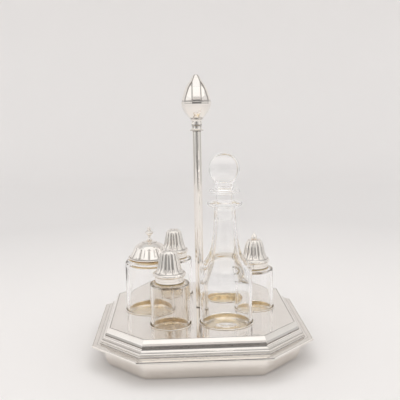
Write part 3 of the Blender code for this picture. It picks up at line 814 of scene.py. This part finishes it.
def make_lid_knob():
    node = "mustard_lid_knob"
    low = foot(node)
    outline = [(0.0, 130.6), (0.6, 130.55)] + arc((0.0, 128.7), 2.05, 75, -40, 8)[1:]
    outline += [(1.5, 127.2), (2.0, 126.9)]
    outline += flowing([(2.4, 126.6), (4.1, 125.5), (4.4, 124.5), (3.7, 123.2), (1.9, 121.0),
                        (1.5, 119.4), (1.9, 118.0), (3.1, 117.0), (3.3, low + 0.4)], 5)
    outline += [(3.3, low), (0.0, low)]
    turned("lid_knob", outline, middle(node), SILVER, "mustard_lid", node, facets=KNOB_ROUND)


# ---------------------------------------------------------------- oil bottle

def make_bottle():
    """A bottle with a pushed-up foot, a long neck and a rolled lip."""
    node = "oil_bottle"
    base, mouth = foot(node), top(node)
    inside = [(0.0, base + 5.2)]
    inside += flowing([(3.0, base + 5.1), (8.0, base + 4.2), (11.5, base + 3.2),
                       (17.0, base + 3.1)], 4)
    inside += arc((20.8, base + 6.4), 3.2, -78, 0, 6)
    inside += flowing([(24.2, base + 10.0), (24.3, 72.0), (23.4, 82.0), (21.0, 90.0),
                       (17.8, 97.5), (14.6, 105.5), (12.2, 114.0), (10.2, 127.0), (9.0, 139.0),
                       (8.6, 146.0), (8.9, 155.0), (9.3, mouth - 0.3)], 6)
    lip = [(9.6, mouth), (11.0, mouth)]
    lip += flowing([(13.6, mouth - 0.2), (16.5, mouth - 0.9), (17.6, mouth - 2.7),
                    (16.5, mouth - 4.5), (13.6, mouth - 5.3), (11.4, mouth - 5.9),
                    (10.7, mouth - 7.2)], 5)
    outside = flowing([(10.3, 156.0), (11.0, 147.0), (11.6, 139.0), (12.9, 127.0), (15.2, 115.2),
                       (18.0, 108.9), (21.6, 103.3), (25.2, 97.8), (26.6, 94.0),
                       (26.9, 90.6)], 7)
    outside += arc((25.7, base + 1.2), 1.2, 0, -90, 5) + [(0.0, base)]
    turned("bottle", inside + lip + outside, middle(node), GLASS, "oil_bottle", node)


def make_stopper():
    """A slightly tall ball, a waist, a disc and a peg in the bottle's neck."""
    node = "oil_stopper"
    mouth = top("oil_bottle")
    ball_middle, ball_radius, ball_stretch = mouth + 32.1, 15.4, 1.03
    ball = [(r, ball_middle + (z - ball_middle) * ball_stretch)
            for r, z in arc((0.0, ball_middle), ball_radius, 90, -50, 40)]
    ball[0] = (0.0, ball[0][1])
    disc_middle = mouth + 10.1
    waist = flowing([ball[-1], (9.0, disc_middle + 8.0), (8.5, disc_middle + 5.6),
                     (8.6, disc_middle + 3.4)], 4)[1:]
    disc = flowing([(9.2, disc_middle + 2.9), (12.4, disc_middle + 2.3), (14.7, disc_middle + 1.2),
                    (15.3, disc_middle), (14.7, disc_middle - 1.2), (12.4, disc_middle - 2.3),
                    (9.4, disc_middle - 2.9)], 5)
    peg = [(8.9, disc_middle - 3.4), (8.7, mouth), (8.1, 147.2), (7.6, 146.6), (0.0, 146.6)]
    turned("stopper", ball + waist + disc + peg, middle(node), GLASS, "oil_stopper", node)


# ---------------------------------------------------------------- everything

make_skirt()
make_moulding()
make_deck()
for well_name, well_size in WELLS.items():
    make_well_cup(well_name, HOLE[well_size])
make_upright()
make_collar()
make_cup()
make_bud()

ROUND_CROWN = [(0.0, 117.4), (3.0, 117.3), (5.8, 116.7), (8.2, 114.8), (9.1, 112.4)]
KNOB_CROWN = [(0.0, 115.3), (3.6, 115.2), (6.6, 114.7), (8.2, 113.3), (9.1, 111.2)]
for shaker_name, crown, holes, ring in (("front", ROUND_CROWN, 5, 3.6),
                                        ("rear", ROUND_CROWN, 5, 3.6),
                                        ("side", KNOB_CROWN, 6, 5.6)):
    make_shaker_glass(shaker_name)
    make_shaker_ferrule(shaker_name)
    make_shaker_cap(shaker_name, crown, holes, ring)
make_shaker_knob()
make_jar()
make_jar_collar()
make_lid()
make_lid_knob()
make_bottle()
make_stopper()

# These CAD nodes show as they are and only get their material.
for kept_node, kept_look in (("bottom_plate", SILVER), ("tie_rod", BRASS),
                             ("tie_rod_washer", BRASS), ("tie_rod_nut", BRASS),
                             ("front_shaker_washer", CORK), ("rear_shaker_washer", CORK),
                             ("side_shaker_washer", CORK)):
    NODES[kept_node].data.materials.clear()
    NODES[kept_node].data.materials.append(kept_look)


# ---------------------------------------------------------------- studio

LAMP_TONE = (1.0, 0.99, 0.98)
FLOOR_REACH, BEND, WALL_TOP = 1.5, 0.7, 3.0    # of the paper sweep, in metres


def make_sweep():
    """A pale round sweep: a flat floor that curves up all around, far from the stand."""
    look = Look("paper", (0.8, 0.79, 0.785), 0.9)
    # The paper's tone is painted light and shade by distance from the middle: darkest about 0.75 m
    # out, lighter again up the wall.
    away = look.node("ShaderNodeVectorMath", operation="LENGTH")
    look.join(look.place, away.inputs[0])
    ramp = look.tint(look.spread(away.outputs["Value"], 0.0, 1.0, 0.0, 2.5),
                     (0.80, 0.785, 0.775), (0.85, 0.84, 0.835), 0.1, 0.9)
    for position, grey in ((0.3, 0.725), (0.6, 0.80)):
        ramp.elements.new(position).color = (grey, grey - 0.01, grey - 0.014, 1.0)
    outline = [(0.5, 0.0), (FLOOR_REACH, 0.0)]
    outline += [(FLOOR_REACH + BEND * math.sin(a), BEND - BEND * math.cos(a))
                for a in (math.radians(6 * i) for i in range(1, 16))]
    outline += [(FLOOR_REACH + BEND, WALL_TOP)]
    vertices, faces = [], []
    facets = 96
    for radius, height in outline:
        vertices += [(radius * math.cos(2 * math.pi * i / facets),
                      radius * math.sin(2 * math.pi * i / facets), height) for i in range(facets)]
    for level in range(len(outline) - 1):
        for i in range(facets):
            after = (i + 1) % facets
            faces.append([level * facets + i, (level + 1) * facets + i,
                          (level + 1) * facets + after, level * facets + after])
    faces.append(list(range(facets)))
    mesh = bpy.data.meshes.new("sweep")
    mesh.from_pydata(vertices, [], faces)
    mesh.shade_smooth()
    mesh.materials.append(look.material)
    sweep = add_object("sweep", mesh)


def face_centre(thing, place):
    """Put a lamp or a card at its place, facing the middle of the set."""
    thing.location = place
    thing.rotation_mode = "QUATERNION"
    thing.rotation_quaternion = (CENTRE - Vector(place)).to_track_quat("-Z", "Y")


def add_softbox(name, place, width, height, watts):
    """A lamp that lights the set without showing in its metal or glass."""
    light = bpy.data.lights.new(name, "AREA")
    light.shape = "RECTANGLE"
    light.size, light.size_y = width, height
    light.energy = watts
    light.color = LAMP_TONE
    lamp = add_object(name, light)
    face_centre(lamp, place)
    lamp.visible_camera = False
    lamp.visible_glossy = False


def add_card(name, place, width, height, glow, softness=0.25):
    """A card that only shows in the polished metal and the glass.

    It glows evenly and fades out over the outer part of its width and height that
    softness gives.
    """
    material = bpy.data.materials.new(name)
    material.use_nodes = True
    tree = material.node_tree
    tree.nodes.clear()
    emission = add_node(tree, "ShaderNodeEmission")
    emission.inputs["Color"].default_value = (*LAMP_TONE, 1.0)
    emission.inputs["Strength"].default_value = glow
    clear = add_node(tree, "ShaderNodeBsdfTransparent")
    fade = add_node(tree, "ShaderNodeMixShader")
    place_node = add_node(tree, "ShaderNodeTexCoord")
    # From 0 to 1 across the card to -1 to 1, squared, and the larger of the two.
    centred = add_node(tree, "ShaderNodeVectorMath", operation="MULTIPLY_ADD")
    centred.inputs[1].default_value = (2.0, 2.0, 0.0)
    centred.inputs[2].default_value = (-1.0, -1.0, 0.0)
    edge = add_node(tree, "ShaderNodeVectorMath", operation="MULTIPLY")
    split = add_node(tree, "ShaderNodeSeparateXYZ")
    most = add_node(tree, "ShaderNodeMath", operation="MAXIMUM")
    ranged = add_node(tree, "ShaderNodeMapRange", interpolation_type="SMOOTHSTEP")
    ranged.inputs["From Min"].default_value = (1.0 - softness) ** 2
    ranged.inputs["From Max"].default_value = 1.0
    output = add_node(tree, "ShaderNodeOutputMaterial")
    for start, end in ((place_node.outputs["Generated"], centred.inputs[0]),
                       (centred.outputs["Vector"], edge.inputs[0]),
                       (centred.outputs["Vector"], edge.inputs[1]),
                       (edge.outputs["Vector"], split.inputs["Vector"]),
                       (split.outputs["X"], most.inputs[0]),
                       (split.outputs["Y"], most.inputs[1]),
                       (most.outputs["Value"], ranged.inputs["Value"]),
                       (ranged.outputs["Result"], fade.inputs["Fac"]),
                       (emission.outputs["Emission"], fade.inputs[1]),
                       (clear.outputs["BSDF"], fade.inputs[2]),
                       (fade.outputs["Shader"], output.inputs["Surface"])):
        tree.links.new(start, end)
    mesh = bpy.data.meshes.new(name)
    w, h = 0.5 * width, 0.5 * height
    mesh.from_pydata([(-w, -h, 0), (w, -h, 0), (w, h, 0), (-w, h, 0)], [], [[0, 1, 2, 3]])
    mesh.materials.append(material)
    card = add_object(name, mesh)
    face_centre(card, place)
    card.visible_camera = False
    card.visible_diffuse = False
    card.visible_shadow = False


make_sweep()
add_softbox("overhead", (0.0, -0.1, 1.9), 2.8, 2.4, 20.2)
add_softbox("front_fill", (0.0, -1.5, 0.95), 2.2, 0.9, 5.0)

# Each card's name, place, width, height, glow and softness.
add_card("ceiling", (0.0, -0.45, 1.88), 2.6, 1.5, 1.04)
add_card("front_top", (0.0, -1.15, 1.45), 1.9, 0.75, 1.1)
add_card("upper_left", (-1.25, -0.45, 1.2), 1.0, 0.8, 1.05)
add_card("upper_right", (1.25, -0.45, 1.2), 1.0, 0.8, 1.1)
add_card("photographer", (-0.03, -1.2, 0.24), 0.8, 0.66, 0.2, 0.5)
add_card("table_edge", (0.0, -1.22, 0.075), 2.6, 0.05, 0.3, 0.3)
add_card("window_left", (-0.98, -0.78, 0.5), 0.16, 0.8, 0.95, 0.3)
add_card("window_right", (0.9, -0.85, 0.5), 0.24, 0.8, 1.15, 0.3)
add_card("seam_left", (-0.62, -1.05, 0.45), 0.07, 1.0, 0.15, 0.3)
add_card("seam_right", (0.62, -1.05, 0.45), 0.06, 1.0, 0.2, 0.3)
add_card("room_left", (-0.9, -1.3, 0.42), 1.3, 0.9, 0.54)
add_card("room_right", (0.9, -1.3, 0.42), 1.3, 0.9, 0.62)
add_card("side_left", (-1.4, 0.15, 0.6), 1.5, 0.75, 0.95, 0.15)
add_card("side_right", (1.4, 0.15, 0.6), 1.5, 0.75, 0.74, 0.15)
add_card("low_left", (-1.38, 0.1, 0.14), 1.6, 0.4, 0.5, 0.3)
add_card("low_right", (1.38, 0.1, 0.14), 1.6, 0.4, 0.56, 0.3)

world = bpy.data.worlds.new("room")
world.use_nodes = True
background = world.node_tree.nodes["Background"]
background.inputs["Color"].default_value = (0.79, 0.785, 0.78, 1.0)
background.inputs["Strength"].default_value = 0.86
bpy.context.scene.world = world
bpy.context.scene.view_settings.view_transform = "Standard"
# Light goes through many walls of glass and back and forth between polished faces.
cycles = bpy.context.scene.cycles
cycles.max_bounces = 40
cycles.transmission_bounces = 40
cycles.glossy_bounces = 32
cycles.diffuse_bounces = 8

# ---------------------------------------------------------------- camera

# Solved from the corners of the base in the photo.
CAMERA_PLACE = (-0.0229, -0.6579, 0.2599)
CAMERA_LENS, CAMERA_SENSOR = 55.6, 36.0
CAMERA_ROLL = math.radians(1.12)
VIEW = Vector((0.0373, 0.9878, -0.1513)).normalized()

camera_data = bpy.data.cameras.new("camera")
camera_data.lens = CAMERA_LENS
camera_data.sensor_width = CAMERA_SENSOR
camera = add_object("camera", camera_data)
camera.location = CAMERA_PLACE
camera.rotation_mode = "QUATERNION"
camera.rotation_quaternion = Quaternion(VIEW, CAMERA_ROLL) @ VIEW.to_track_quat("-Z", "Y")
bpy.context.scene.camera = camera
